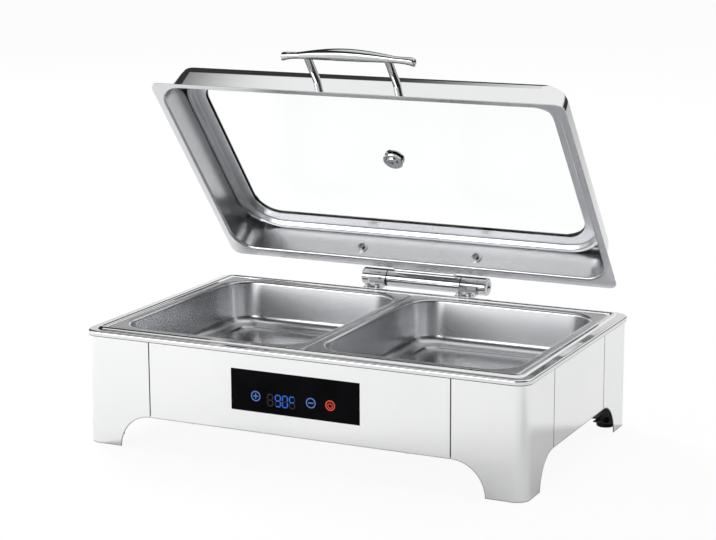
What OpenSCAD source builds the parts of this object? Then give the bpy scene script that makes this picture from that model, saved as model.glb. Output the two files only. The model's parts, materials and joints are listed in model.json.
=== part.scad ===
// Electric chafing dish: a sheet-steel base on four corner legs, a heated water pan with two
// lift-out food pans, a touch control panel on the front and a glass-window lid on a rear hinge.
// Millimetres. X runs right along the front, Y to the back, Z up. The origin lies on the standing
// plane, in the middle of the outline. The lid is drawn open, as it stands in use.

/* [Base] */
// Width of the base over the outer faces of the legs
body_w = 565; // [500:5:640]
// Depth of the base over the outer faces of the legs
body_d = 350; // [320:5:400]
// Height of the base, to the flat top of its rim
body_h = 140.5; // [132:0.5:160]
// Outer radius of the upright corners
corner_r = 16; // [10:1:22]
// Thickness of the steel sheet
sheet_t = 1; // [0.8:0.1:1.2]
// Length of each leg wing, from the corner to the seam with the panel
leg_wing = 88; // [75:1:100]
// Width of each leg wing where it stands on the floor
foot_wing = 47; // [44:1:56]
// Height of the lower edge of the panels above the floor
panel_lift = 41; // [38:1:48]
// Gap at the upright seams between legs and panels
seam_gap = 1.5; // [0.5:0.1:2]
// Height of a rubber foot
foot_h = 6; // [4:0.5:10]
// Diameter of a rubber foot
foot_d = 22; // [18:1:30]
// How far the rubber feet stand out below the legs
foot_show = 1; // [0.5:0.5:2]

/* [Rim and pans] */
// How far the rolled rim stands out from the legs
rim_overhang = 2.5; // [2:0.5:4]
// Height of the rolled edge of the rim
rim_edge_h = 7; // [5:0.5:9]
// Width of the flat part of the rim, from its outer edge to the bead
rim_flat = 10.4; // [9:0.1:12]
// Width of the raised bead around the pans
bead_w = 10.2; // [8:0.1:10.4]
// Height of the raised bead
bead_h = 2.5; // [1.5:0.1:3.5]
// Width of a food pan's flat rim
pan_rim = 10.8; // [9:0.1:14]
// Corner radius of a food pan's opening
pan_corner_r = 38; // [32:1:48]
// Room for the heater between the floor plate and the water pan; the food pans take the height above it
heater_room = 27.5; // [26:0.5:32]
// Inward slope of a pan wall over its height
pan_draft = 6; // [4:0.5:8]
// Space for water under the food pans
water_depth = 11; // [8:0.5:13]

/* [Controls] */
// Width of the touch panel
touch_w = 165; // [140:1:180]
// Height of the touch panel
touch_h = 49; // [42:1:54]
// Height of the touch panel's centre above the floor
touch_z = 90.5; // [84:0.5:96]
// Thickness of the touch panel
touch_t = 2; // [1.5:0.1:3]

/* [Lid] */
// Width of the lid over its flange
lid_w = 540; // [480:1:610]
// Depth of the lid over its flange
lid_d = 325; // [300:1:370]
// Height of the lid above its flange
lid_h = 46.3; // [42:0.1:56]
// Width of the flange at the two sides
flange_side = 9.5; // [8:0.1:12]
// Width of the flange at the front
flange_front = 7; // [6:0.1:10]
// Width of the flange at the hinge
flange_rear = 13.5; // [12:0.1:16]
// Inward slope of the lid walls over their height
lid_draft = 6; // [4:0.1:7]
// Corner radius of the lid's walls
lid_corner_r = 30; // [26:1:36]
// Radius of the lid's top edge
lid_edge_r = 14; // [6:0.5:15]
// Distance from the foot of the walls in to the window
window_inset = 31; // [28:0.5:36]
// Thickness of the window glass
glass_t = 4; // [3:0.5:4]
// Angle at which the lid stands open
lid_open = 50.6; // [30:0.1:85]

/* [Handle and hinge] */
// Distance between the two handle posts
post_gap = 105; // [90:1:130]
// Length of a handle post
post_len = 34.5; // [30:0.5:50]
// Diameter of a handle post
post_d = 9.5; // [8:0.5:12]
// Length of the handle bar
bar_len = 174; // [150:1:200]
// Distance of the hinge axis behind the base
hinge_back = 22; // [20:0.5:28]
// Height of the hinge axis above the rim
hinge_rise = 11; // [8.6:0.1:12]
// Diameter of the hinge barrel
barrel_d = 23; // [20:0.5:24]
// Length of the barrel that turns with the lid
barrel_len = 103; // [90:1:120]
// Length of each fixed knuckle
knuckle_len = 23; // [20:1:32]
// Diameter of the hinge shaft
shaft_d = 8; // [6:0.5:10]

/* [Hidden] */

$fn = 64;
// Overlap of a cut past the face it opens
cut = 1;
// Radial clearance of a turning fit
run_clear = 0.05;
// Clearance of a piece dropped into its seat
seat_clear = 0.5;
// Clearance across a plain screw hole
screw_clear = 0.2;
// Overlap of a bent wall with the flat that carries on from it
flat_lap = 1;
// How far a screw reaches past its nut or short of its bore's end
screw_tail = 1;

// Levels of the base
leg_z = foot_show;
frame_under_z = body_h - sheet_t;
bead_top_z = body_h + bead_h;
arch_r = leg_wing - foot_wing;
arch_z = panel_lift - arch_r;

// Feet
foot_at = 20;
foot_edge = 1;
foot_plate_w = foot_at + foot_d / 2 + foot_edge;
stud_d = 7;
stud_head_d = 11;
stud_head_h = 3;

// Panels
front_long = body_w - 2 * (leg_wing + seam_gap);
side_long = body_d - 2 * (leg_wing + seam_gap);
lap = 14;
strip_in = 10;
strip_out = 13;
strip_trim = 3;
// Share of a panel's length from its middle to each of its screws
screw_spread = 0.36;

// Rim
rim_w = body_w + 2 * rim_overhang;
rim_d = body_d + 2 * rim_overhang;
rim_r = corner_r + rim_overhang;
rim_edge_r = 2.5;
rim_gap = 0.3;
rim_curl = rim_overhang - rim_gap;
rim_curl_r = 1.6;
bead_in_r = 1;
bead_r = bead_w + bead_in_r;
bead_arc_r = (bead_w * bead_w / 4 + bead_h * bead_h) / (2 * bead_h);
ledge_w = 6.4;
ledge_r = 6;
pan_zone_w = rim_w - 2 * (rim_flat + bead_w);
pan_zone_d = rim_d - 2 * (rim_flat + bead_w);
ledge_in_w = pan_zone_w - 2 * ledge_w;
ledge_in_d = pan_zone_d - 2 * ledge_w;

// Food pans
pan_w = pan_zone_w / 2 - 2 * seat_clear;
pan_d = pan_zone_d - 2 * seat_clear;
pan_x = pan_zone_w / 4;
pan_open_w = pan_w - 2 * pan_rim;
pan_open_d = pan_d - 2 * pan_rim;
pan_rim_r = 7;
pan_lip_r = 4;
pan_floor_r = 12;
pan_step_in = 17;
pan_step_run = 2;
pan_step_h = 2.5;
pan_step_r = 1.5;
pan_floor_in = pan_draft + pan_step_in + pan_step_run;

// Bar between the pans
bar_half = pan_rim - pan_lip_r;
bar_rib_h = 6;
bar_end_room = 4;

// Water pan
water_gap = 1.2;
water_w = ledge_in_w - 2 * water_gap;
water_d = ledge_in_d - 2 * water_gap;
water_r = 24;
water_draft = 4;
water_floor_r = 11;
water_lip = 8;
water_lip_r = 2;
water_under_z = panel_lift + 2 * sheet_t + heater_room;
water_floor_z = water_under_z + sheet_t;
// Depth of a food pan, from its rim to the middle of its floor
pan_depth = body_h - water_floor_z - water_depth;
water_floor_in = water_draft + water_floor_r + 2 * flat_lap;

// Floor plate and its screws
plate_z = panel_lift + sheet_t;
plate_in = 3;
plate_top = plate_z + sheet_t;
plate_slot_w = 4;
plate_slot_len = 60;
plate_slots = 7;
plate_slot_pitch = 14;
base_screw_in = 8;
base_screw_d = 3.5;
base_screw_head_d = 7;
base_screw_head_h = 2;
base_screw_len = 7;

// Heater
heat_plate_in = [92.5, 75];
heat_plate_w = body_w - 2 * heat_plate_in[0];
heat_plate_d = body_d - 2 * heat_plate_in[1];
heat_plate_r = 20;
heat_plate_t = 4;
heat_under_z = water_under_z - heat_plate_t;
tube_d = 7;
tube_flat = 0.5;
tube_z = heat_under_z - tube_d / 2 + tube_flat;
tube_runs = 4;
tube_pitch = heat_plate_d / tube_runs;
tube_room = 60;
tube_half = heat_plate_w / 2 - tube_room;
tube_tail = 30;
pin_d = 3;
pin_len = 14;
clamp_from_bend = 40;
clamp_x = tube_half - clamp_from_bend;
clamp_w = 12;
clamp_t = 2;
clamp_in = 8;
clamp_half = heat_plate_d / 2 - clamp_in;
clamp_z = tube_z - tube_d / 2 - clamp_t;
stud_size = 4;
stud_y = tube_pitch;
stud_tail = 5;
nut_across = 8;
nut_t = 3;
shield_in = 25;
shield_out = 15;
shield_w = heat_plate_w - 2 * shield_in;
shield_d = heat_plate_d + 2 * shield_out;
shield_gap = 8;
shield_top = clamp_z - shield_gap;
cutout_from_bend = 20;
cutout_x = tube_half + cutout_from_bend;
cutout_d = 16;
cutout_h = 9;
cutout_flange_w = 28;
cutout_flange_d = 10;
blade_w = 6;
blade_t = 0.8;
blade_h = 7;
sensor_from_bend = 10;
sensor_x = -tube_half + sensor_from_bend;
sensor_w = 24;
sensor_d = 9;
sensor_t = 6;

// Touch panel and electronics
touch_clear = 0.3;
touch_proud = 0.6;
touch_back_y = -body_d / 2 - touch_proud + touch_t;
touch_r = 1;
box_rim = 5;
box_seat = 4;
box_deep = 14;
box_wall = 2;
box_r = 3;
board_t = 1.6;
display_w = 62;
display_h = 24;
display_t = 4;
display_x = -6;
display_low = 6;
display_z = touch_z - display_low;
board_room = 2;
board_w = touch_w - 2 * (box_seat + board_room);
board_h = touch_h - 2 * (box_seat + board_room);
boss_d = 6;
boss_in = 5;
boss_x = board_w / 2 - boss_in;
boss_z = board_h / 2 - boss_in;
power_in = 54.5;
power_x = body_w / 2 - power_in;
power_w = 70;
power_d = 100;
standoff_h = 5;
standoff_d = 6;
standoff_in = 5;
relay = [18, 28, 14];
relay_at = [-20, -38];
filter = [20, 22, 12];
filter_at = [6, -36];
terminals = [24, 30, 10];
terminals_at = [-22, 8];
capacitor_d = 12;
capacitor_h = 14;
capacitor_at = [18, 22];
inlet_in = 44.5;
inlet_x = body_w / 2 - leg_wing - inlet_in;
inlet_z = 88;
inlet_w = 27;
inlet_h = 20;
inlet_t = 3;
inlet_flange_w = 50;
inlet_flange_h = 26;
inlet_flange_r = 4;
inlet_screw_gap = 40;
inlet_screw_d = 3;
inlet_head_d = 5.6;
inlet_head_h = 2;
inlet_deep = 20;
socket_w = 22;
socket_h = 15;
socket_deep = 15;
socket_pin_gap = 7;
socket_pin_w = 2;
socket_pin_h = 4;
socket_pin_rise = 2;
socket_pin_fall = 1.5;
vent_slots = 9;
vent_slot_w = 3;
vent_slot_h = 30;
vent_pitch = 9;

// Lid, drawn closed and then swung open
lid_rest = 0.3;
lid_z = bead_top_z + lid_rest;
// Share of the bead's width that the shut lid covers at the back
lid_cover = 0.8;
lid_back_y = pan_zone_d / 2 + lid_cover * bead_w;
lid_mid_y = lid_back_y - lid_d / 2;
lid_rim_r = 12;
lid_root_r = 2.5;
lid_flat = 3.5;
dome_w = lid_w - 2 * flange_side;
dome_d = lid_d - flange_front - flange_rear;
dome_y = lid_back_y - flange_rear - dome_d / 2;
wall_lean = atan(lid_draft / (lid_h - sheet_t));
// Height at which a wall starts to turn into the rounded top edge
lid_turn_z = lid_h - lid_edge_r * tan(45 - wall_lean / 2) * cos(wall_lean);
lid_top_in = lid_draft + lid_edge_r + 2 * flat_lap;
window_w = dome_w - 2 * window_inset;
window_d = dome_d - 2 * window_inset;
window_more_r = 2;
window_r = lid_corner_r + window_more_r;
gasket_t = 0.5;
gasket_in = 1;
gasket_w = 9;
glass_lap = 13;
glass_w = window_w + 2 * glass_lap;
glass_d = window_d + 2 * glass_lap;
glass_r = window_r + 2 * window_more_r;
glass_top = lid_h - sheet_t - gasket_t;
glass_low = glass_top - glass_t;
keeper_in = 1.5;
keeper_flat = 14.5;
keeper_run = 4;
keeper_drop = 4.5;
keeper_clear = 0.8;
keeper_up = (glass_low - keeper_drop) / (lid_h - sheet_t);
keeper_end = window_inset - keeper_in - keeper_up * lid_draft - sheet_t - keeper_clear;
keeper_bend_r = 1.5;

// Vent in the middle of the window
vent_d = 26;
vent_t = 2.5;
vent_edge = 0.8;
vent_boss_d = 15;
vent_boss_h = 1.8;
vent_stem_d = 8;
vent_steam_d = 3;
vent_hole_d = 11;
grommet_d = 16;
grommet_t = 1;

// Handle, as a row of stations along the bar
handle_screw_d = 5;
handle_screw_len = 16;
handle_head_d = 9;
handle_head_h = 3;
head_edge = 1;
recess_len = 5.4;
recess_w = 1.3;
recess_deep = 1.5;
handle_washer_d = 11;
leaf_washer_d = 15;
wall_washer_t = 1.2;
washer_room = 0.4;
post_z = min(lid_turn_z, glass_low - sheet_t - keeper_drop - sheet_t) - handle_washer_d / 2 - washer_room;
post_x = post_gap / 2;
post_start_y = dome_y - dome_d / 2;
post_sink = 5;
// Height up the front wall at which the middle of a post meets it
handle_screw_z = (post_z - sheet_t) / cos(wall_lean);
bar_y = post_start_y - post_len;
bar_mid_r = 8;
bar_thin = 0.44;
bar_flare = 0.2;
bar_wide = 0.9;
// Shares of the half length at which the bar is thinnest, starts to flare and rounds off
bar_waist = 0.85;
bar_flare_from = 0.72;
bar_end_from = 0.985;
// Powers of the swelling and of the bend of the tips, and the height left at the very end
bar_swell = 1.2;
bar_bend = 8;
bar_end_r = 0.35;
bar_tip_drop = 4;
bar_stations = 32;
bar_points = 24;

// Hinge
hinge_y = body_d / 2 + hinge_back;
hinge_z = body_h + hinge_rise;
cap_len = 12;
cap_edge = 2;
cap_joint = 0.5;
cap_pocket_d = 12;
cap_pocket = 2;
cap_pocket_edge = 1;
shaft_in_cap = 6;
washer_t = 1.3;
washer_gap = 0.1;
washer_in = 1;
washer_d = barrel_d - 2 * washer_in;
knuckle_x = barrel_len / 2 + washer_t + 2 * washer_gap;
cap_x = knuckle_x + knuckle_len;
bracket_t = 3;
// Where the foot of a fixed knuckle runs into the round: below, in front and above the axis
neck_front = 3;
neck_sink = 2;
neck_top = 4;
neck_room = 1;
bracket_y = pan_zone_d / 2 + bead_w + seat_clear;
bolt_d = 5;
bolt_y = body_d / 2 - sheet_t - bolt_d / 2 - seat_clear;
bolt_spread = 7;
bolt_head_d = 8.4;
bolt_head_h = 3.2;
bolt_socket_d = 4.6;
bolt_socket_h = 1.8;
bolt_len = 8;
backing_t = 3;
backing_d = 10;
backing_end = 5;
backing_gap = 0.2;
backing_half = cap_x + backing_end;
backing_y = body_d / 2 - sheet_t - backing_gap;
leaf_half = 92;
leaf_t = 3;
leaf_low = 8;
leaf_high = 27;
leaf_screw_x = 80;
leaf_screw_z = 16;
leaf_screw_len = 7;
arm_half = 42;
arm_low = 13;
arm_t = 9;
// Directions from the hinge axis at which the arm's two edges meet the barrel, lid shut
arm_front = 161;
arm_rear = 110;
arm_sink = 2.5;

// The origin is moved back to the middle of the open dish's outline
base_y = (rim_d / 2 - hinge_y - barrel_d / 2) / 2;

// Shades of the finishes
steel = "#d9dcdf";
satin = "#b9bdc1";
dark = "#1b1c1e";
rubber = "#2a2a2b";
plastic = "#303236";
board = "#2f6b45";
clear = "#cfe3e6";

function unit(v) = v / norm(v);
function side_of(a, b) = let (d = unit(b - a)) [-d[1], d[0]];
function turn_at(p, i) =
  let (a = unit(p[i] - p[i - 1]), b = unit(p[i + 1] - p[i]))
  atan2(a[0] * b[1] - a[1] * b[0], a * b);
function trim_at(p, r, i) = r[i] * tan(abs(turn_at(p, i)) / 2);
function bend_steps(r) = ceil(r / 2) + 3;

// One side of a bent sheet: a path with a bend radius at each inner point, moved to its left
function sheet_side(p, r, off) = [
  for (i = [0:len(p) - 1])
    let (last = len(p) - 1)
    if (i == 0)
      p[0] + side_of(p[0], p[1]) * off
    else if (i == last)
      p[last] + side_of(p[last - 1], p[last]) * off
    else
      let (
        turn = turn_at(p, i),
        hand = turn > 0 ? 1 : -1,
        n = side_of(p[i - 1], p[i]) * hand,
        c = p[i] - unit(p[i] - p[i - 1]) * trim_at(p, r, i) + n * r[i],
        a0 = atan2(-n[1], -n[0]),
        steps = bend_steps(r[i])
      )
      for (k = [0:steps])
        c + (r[i] - hand * off) * [cos(a0 + turn * k / steps), sin(a0 + turn * k / steps)]
];

// Section of a bent sheet of thickness t
module bent_sheet(p, r, t) {
  far = sheet_side(p, r, t);
  polygon(concat(sheet_side(p, r, 0), [for (i = [len(far) - 1:-1:0]) far[i]]));
}

// A flat outline with rounded corners, centred
module rounded_rect(w, d, r) {
  square([w - 2 * r, d], center = true);
  square([w, d - 2 * r], center = true);
  for (x = [-1, 1], y = [-1, 1])
    translate([x * (w / 2 - r), y * (d / 2 - r)])
      circle(r);
}

module plate(w, d, r, t) {
  linear_extrude(t)
    rounded_rect(w, d, r);
}

// A flat frame with a rounded outside and a rounded opening
module frame_plate(w, d, r, open_w, open_d, open_r, t) {
  difference() {
    plate(w, d, r, t);
    translate([0, 0, -cut])
      plate(open_w, open_d, open_r, t + 2 * cut);
  }
}

// Sweeps a section around a rounded rectangle: its x runs outward from the path, its y up
module ring(w, d, r) {
  for (turn = [0, 180])
    rotate(turn) {
      translate([0, d / 2, 0])
        rotate([90, 0, 90])
          linear_extrude(w - 2 * r, center = true)
            children();
      translate([w / 2, 0, 0])
        rotate([90, 0, 0])
          linear_extrude(d - 2 * r, center = true)
            children();
      translate([w / 2 - r, d / 2 - r, 0])
        rotate_extrude(angle = 90)
          translate([r, 0])
            children();
      translate([-w / 2 + r, d / 2 - r, 0])
        rotate(90)
          rotate_extrude(angle = 90)
            translate([r, 0])
              children();
    }
}

// Cylinders along X and along Y, centred and one-sided
module rod_x(d, long) {
  rotate([0, 90, 0])
    cylinder(d = d, h = long, center = true);
}

module rod_y(d, long) {
  rotate([-90, 0, 0])
    cylinder(d = d, h = long);
}

module hex(across, h) {
  cylinder(d = across / cos(30), h = h, $fn = 6);
}

// Shifts the finished dish so that the origin is in the middle of its outline
module placed() {
  translate([0, base_y, 0])
    children();
}

// Puts a piece of the front left corner at any corner
module at_corner(right, rear) {
  mirror([right ? 1 : 0, 0, 0])
    mirror([0, rear ? 1 : 0, 0])
      translate([-body_w / 2, -body_d / 2, 0])
        children();
}

// Swings a piece of the lid from closed to open
module opened() {
  translate([0, hinge_y, hinge_z])
    rotate([-lid_open, 0, 0])
      translate([0, -hinge_y, -hinge_z])
        children();
}

// Frames on the outer faces of the lid's walls: x along the wall, y outward, z up the wall
module on_rear_wall() {
  translate([0, dome_y + dome_d / 2, lid_z + sheet_t])
    rotate([wall_lean, 0, 0])
      children();
}

module on_front_wall() {
  translate([0, dome_y - dome_d / 2, lid_z + sheet_t])
    rotate([-wall_lean, 0, 0])
      mirror([0, 1, 0])
        children();
}

function on_wall(y, z) = [
  dome_y + dome_d / 2 + y * cos(wall_lean) - z * sin(wall_lean),
  lid_z + sheet_t + y * sin(wall_lean) + z * cos(wall_lean)
];

// Point a little inside the round of the hinge barrel, in direction a from its axis
function in_barrel(a) = [hinge_y, hinge_z] + (barrel_d / 2 - arm_sink) * [cos(a), sin(a)];

// Quarter-round cut-out beside a leg, running down to the floor
module arch() {
  translate([leg_wing, -cut, arch_z])
    rotate([-90, 0, 0])
      cylinder(r = arch_r, h = sheet_t + 2 * cut);
  translate([leg_wing - arch_r, -cut, -cut])
    cube([2 * arch_r, sheet_t + 2 * cut, max(arch_z, 0) + cut]);
}

// Corner leg: bent sheet with a cut-out in each wing and a plate for the rubber foot
module leg(right, rear) {
  leg_h = frame_under_z - leg_z;
  color(steel)
    at_corner(right, rear)
      difference() {
        union() {
          translate([corner_r, corner_r, leg_z])
            rotate(180)
              rotate_extrude(angle = 90)
                translate([corner_r - sheet_t, 0])
                  square([sheet_t, leg_h]);
          translate([corner_r, 0, leg_z])
            cube([leg_wing - corner_r, sheet_t, leg_h]);
          translate([0, corner_r, leg_z])
            cube([sheet_t, leg_wing - corner_r, leg_h]);
          translate([0, 0, foot_h])
            linear_extrude(sheet_t)
              polygon([
                [corner_r, sheet_t], [foot_plate_w, sheet_t], [foot_plate_w, foot_plate_w],
                [sheet_t, foot_plate_w], [sheet_t, corner_r]
              ]);
        }
        arch();
        mirror([1, -1, 0])
          arch();
        translate([foot_at, foot_at, foot_h - cut])
          cylinder(d = stud_d + screw_clear, h = sheet_t + 2 * cut);
      }
}

// Rubber foot with a barbed stud pushed through the leg's plate
module foot(right, rear) {
  color(rubber)
    at_corner(right, rear)
      translate([foot_at, foot_at, 0])
        rotate_extrude()
          polygon([
            [0, 0], [foot_d / 2 - foot_edge, 0], [foot_d / 2, foot_edge], [foot_d / 2, foot_h],
            [stud_d / 2, foot_h], [stud_d / 2, foot_h + sheet_t],
            [stud_head_d / 2, foot_h + sheet_t], [stud_d / 2, foot_h + sheet_t + stud_head_h],
            [0, foot_h + sheet_t + stud_head_h]
          ]);
}

module leg_front_left() { leg(false, false); }
module leg_front_right() { leg(true, false); }
module leg_rear_left() { leg(false, true); }
module leg_rear_right() { leg(true, true); }
module foot_front_left() { foot(false, false); }
module foot_front_right() { foot(true, false); }
module foot_rear_left() { foot(false, true); }
module foot_rear_right() { foot(true, true); }

// Screws of the floor plate: a row along each panel's inward fold
module at_panel_screws(long) {
  for (side = [-1, 1])
    translate([side * long * screw_spread, base_screw_in, 0])
      children();
}

module at_base_screws() {
  for (turn = [0, 180])
    rotate(turn) {
      translate([0, -body_d / 2, 0])
        at_panel_screws(front_long)
          children();
      rotate(90)
        translate([0, -body_w / 2, 0])
          at_panel_screws(side_long)
            children();
    }
}

// Flat panel seen from outside: x along it, y inward from its outer face, z up
module panel(long) {
  high = frame_under_z - panel_lift;
  color(steel)
    difference() {
      translate([0, 0, panel_lift]) {
        translate([-long / 2, 0, 0])
          cube([long, sheet_t, high]);
        translate([-long / 2, 0, 0])
          cube([long, lap, sheet_t]);
      }
      at_panel_screws(long)
        translate([0, 0, panel_lift - cut])
          cylinder(d = base_screw_d + screw_clear, h = sheet_t + 2 * cut);
    }
}

module front_panel() {
  difference() {
    translate([0, -body_d / 2, 0])
      panel(front_long);
    translate([0, -body_d / 2, touch_z])
      cube([touch_w + 2 * touch_clear, 4 * sheet_t, touch_h + 2 * touch_clear], center = true);
  }
}

// The rear panel carries the mains inlet and a row of air slots
module rear_panel() {
  difference() {
    rotate(180)
      translate([0, -body_d / 2, 0])
        panel(front_long);
    translate([inlet_x, body_d / 2, inlet_z])
      cube([inlet_w + 2 * touch_clear, 4 * sheet_t, inlet_h + 2 * touch_clear], center = true);
    for (side = [-1, 1])
      translate([inlet_x + side * inlet_screw_gap / 2, body_d / 2 - sheet_t - cut, inlet_z])
        rod_y(inlet_screw_d + screw_clear, sheet_t + 2 * cut);
    for (i = [0:vent_slots - 1])
      translate([-inlet_x + (i - (vent_slots - 1) / 2) * vent_pitch, body_d / 2, inlet_z])
        cube([vent_slot_w, 4 * sheet_t, vent_slot_h], center = true);
  }
}

module left_panel() {
  rotate(-90)
    translate([0, -body_w / 2, 0])
      panel(side_long);
}

module right_panel() {
  rotate(90)
    translate([0, -body_w / 2, 0])
      panel(side_long);
}

// Dark strips behind the upright seams, each lapping a panel and a leg
module panel_strips(long) {
  low = panel_lift + strip_trim;
  for (side = [0, 1])
    mirror([side, 0, 0])
      translate([long / 2 - strip_in, sheet_t, low])
        cube([strip_in + strip_out, sheet_t, frame_under_z - low]);
}

module seam_strips() {
  color(dark)
    for (turn = [0, 180])
      rotate(turn) {
        translate([0, -body_d / 2, 0])
          panel_strips(front_long);
        rotate(90)
          translate([0, -body_w / 2, 0])
            panel_strips(side_long);
      }
}

// Rim of the base: rolled outer edge, flat, raised bead and the ledge that carries the pans
module top_frame() {
  edge = [
    [-rim_curl, -rim_edge_h], [0, -rim_edge_h], [0, 0], [-rim_edge_r - cut, 0]
  ];
  color(steel)
    difference() {
      translate([0, 0, body_h]) {
        ring(rim_w, rim_d, rim_r)
          bent_sheet(edge, [0, rim_curl_r, rim_edge_r, 0], sheet_t);
        translate([0, 0, -sheet_t])
          frame_plate(
            rim_w - 2 * rim_edge_r, rim_d - 2 * rim_edge_r, rim_r - rim_edge_r,
            ledge_in_w, ledge_in_d, ledge_r, sheet_t
          );
        ring(rim_w - 2 * rim_flat, rim_d - 2 * rim_flat, bead_r)
          intersection() {
            translate([-bead_w / 2, bead_h - bead_arc_r])
              circle(bead_arc_r);
            translate([-bead_w, -sheet_t / 2])
              square([bead_w, bead_h + sheet_t]);
          }
      }
      at_hinge_bolts()
        translate([0, 0, frame_under_z - cut])
          cylinder(d = bolt_d + screw_clear, h = sheet_t + 2 * cut);
    }
}

// Bar between the two food pans, level with the ledge, with a rib under each edge
module pan_support_bar() {
  color(satin)
    translate([0, 0, frame_under_z]) {
      translate([-bar_half, -ledge_in_d / 2, 0])
        cube([2 * bar_half, ledge_in_d, sheet_t]);
      for (side = [0, 1])
        mirror([side, 0, 0])
          translate([bar_half - sheet_t, -water_d / 2 + bar_end_room, -bar_rib_h])
            cube([sheet_t, water_d - 2 * bar_end_room, bar_rib_h + sheet_t / 2]);
    }
}

// Drawn pan that holds the water, hung under the ledge
module water_pan() {
  deep = frame_under_z - water_floor_z;
  wall = [
    [water_lip, 0], [0, 0], [-water_draft, -deep], [-water_floor_in - cut, -deep]
  ];
  color(satin)
    translate([0, 0, frame_under_z]) {
      ring(water_w, water_d, water_r)
        bent_sheet(wall, [0, water_lip_r, water_floor_r, 0], sheet_t);
      translate([0, 0, -deep - sheet_t])
        plate(
          water_w - 2 * water_floor_in, water_d - 2 * water_floor_in,
          water_r - water_floor_in, sheet_t
        );
    }
}

// Food pan with a flat rim, drafted walls and a floor that steps down inside its border
module food_pan() {
  border = pan_step_h - pan_depth;
  wall = [
    [pan_lip_r + 2 * flat_lap, 0], [0, 0], [-pan_draft, border], [-pan_draft - pan_step_in, border],
    [-pan_floor_in, -pan_depth], [-pan_floor_in - 3 * flat_lap, -pan_depth]
  ];
  radii = [0, pan_lip_r, pan_floor_r, pan_step_r, pan_step_r, 0];
  open_in = pan_rim - pan_lip_r - flat_lap;
  floor_in = pan_floor_in + 2 * flat_lap;
  color(satin)
    translate([0, 0, body_h + sheet_t]) {
      ring(pan_open_w, pan_open_d, pan_corner_r)
        bent_sheet(wall, radii, sheet_t);
      translate([0, 0, -sheet_t])
        frame_plate(
          pan_w, pan_d, pan_rim_r,
          pan_w - 2 * open_in, pan_d - 2 * open_in, pan_corner_r + pan_lip_r + flat_lap, sheet_t
        );
      translate([0, 0, -pan_depth - sheet_t])
        plate(
          pan_open_w - 2 * floor_in, pan_open_d - 2 * floor_in,
          pan_corner_r - floor_in, sheet_t
        );
    }
}

module food_pan_left() {
  translate([-pan_x, 0, 0])
    food_pan();
}

module food_pan_right() {
  translate([pan_x, 0, 0])
    food_pan();
}

// Floor of the housing, screwed to the panels' folds, with air slots
module base_plate() {
  color(satin)
    difference() {
      translate([0, 0, plate_z])
        plate(
          body_w - 2 * plate_in, body_d - 2 * plate_in, corner_r - plate_in + sheet_t, sheet_t
        );
      at_base_screws()
        translate([0, 0, plate_z - cut])
          cylinder(d = base_screw_d + 2 * run_clear, h = sheet_t + 2 * cut);
      for (side = [-1, 1], i = [0:plate_slots - 1])
        translate([side * power_x, (i - (plate_slots - 1) / 2) * plate_slot_pitch, plate_z])
          cube([plate_slot_len, plate_slot_w, 4 * sheet_t], center = true);
    }
}

module base_screws() {
  color(steel)
    at_base_screws()
      translate([0, 0, panel_lift - base_screw_head_h]) {
        cylinder(d = base_screw_head_d, h = base_screw_head_h);
        cylinder(d = base_screw_d, h = base_screw_head_h + base_screw_len);
      }
}

// Plate that spreads the heat under the water pan, with studs for the clamps
module heating_plate() {
  color(satin)
    translate([0, 0, heat_under_z]) {
      plate(heat_plate_w, heat_plate_d, heat_plate_r, heat_plate_t);
      for (x = [-1, 1], y = [-1, 1])
        translate([x * clamp_x, y * stud_y, clamp_z - heat_under_z - stud_tail])
          cylinder(d = stud_size, h = heat_under_z - clamp_z + stud_tail + cut);
    }
}

// Tubular heating element: four runs and three bends, flattened against the plate
module heating_element() {
  low = tube_z - tube_d;
  color(satin)
    intersection() {
      translate([0, 0, tube_z]) {
        for (i = [-1.5:1:1.5])
          translate([0, i * tube_pitch, 0])
            rod_x(tube_d, 2 * tube_half);
        for (i = [-1, 1])
          translate([tube_half, i * tube_pitch, 0])
            rotate(-90)
              rotate_extrude(angle = 180)
                translate([tube_pitch / 2, 0])
                  circle(d = tube_d);
        translate([-tube_half, 0, 0])
          rotate(90)
            rotate_extrude(angle = 180)
              translate([tube_pitch / 2, 0])
                circle(d = tube_d);
        for (i = [-1.5, 1.5]) {
          translate([-tube_half - tube_tail / 2, i * tube_pitch, 0])
            rod_x(tube_d, tube_tail);
          translate([-tube_half - tube_tail - pin_len / 2, i * tube_pitch, 0])
            rod_x(pin_d, pin_len);
        }
      }
      translate([-heat_plate_w, -heat_plate_d, low])
        cube([2 * heat_plate_w, 2 * heat_plate_d, heat_under_z - low]);
    }
}

module at_heater_studs() {
  for (x = [-1, 1], y = [-1, 1])
    translate([x * clamp_x, y * stud_y, 0])
      children();
}

// Bars that press the element against the plate
module heater_clamps() {
  color(steel)
    difference() {
      for (side = [-1, 1])
        translate([side * clamp_x - clamp_w / 2, -clamp_half, clamp_z])
          cube([clamp_w, 2 * clamp_half, clamp_t]);
      at_heater_studs()
        translate([0, 0, clamp_z - cut])
          cylinder(d = stud_size + screw_clear, h = clamp_t + 2 * cut);
    }
}

module heater_nuts() {
  color(steel)
    at_heater_studs()
      translate([0, 0, clamp_z - nut_t])
        difference() {
          hex(nut_across, nut_t);
          translate([0, 0, -cut])
            cylinder(d = stud_size + 2 * run_clear, h = nut_t + 2 * cut);
        }
}

// Folded sheet that keeps the heat off the floor plate
module heat_shield() {
  color(satin)
    translate([-shield_w / 2, 0, 0])
      rotate([90, 0, 90])
        linear_extrude(shield_w)
          difference() {
            translate([-shield_d / 2, plate_top])
              square([shield_d, shield_top - plate_top]);
            translate([-shield_d / 2 + sheet_t, plate_top - cut])
              square([shield_d - 2 * sheet_t, shield_top - plate_top - sheet_t + cut]);
          }
}

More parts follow.
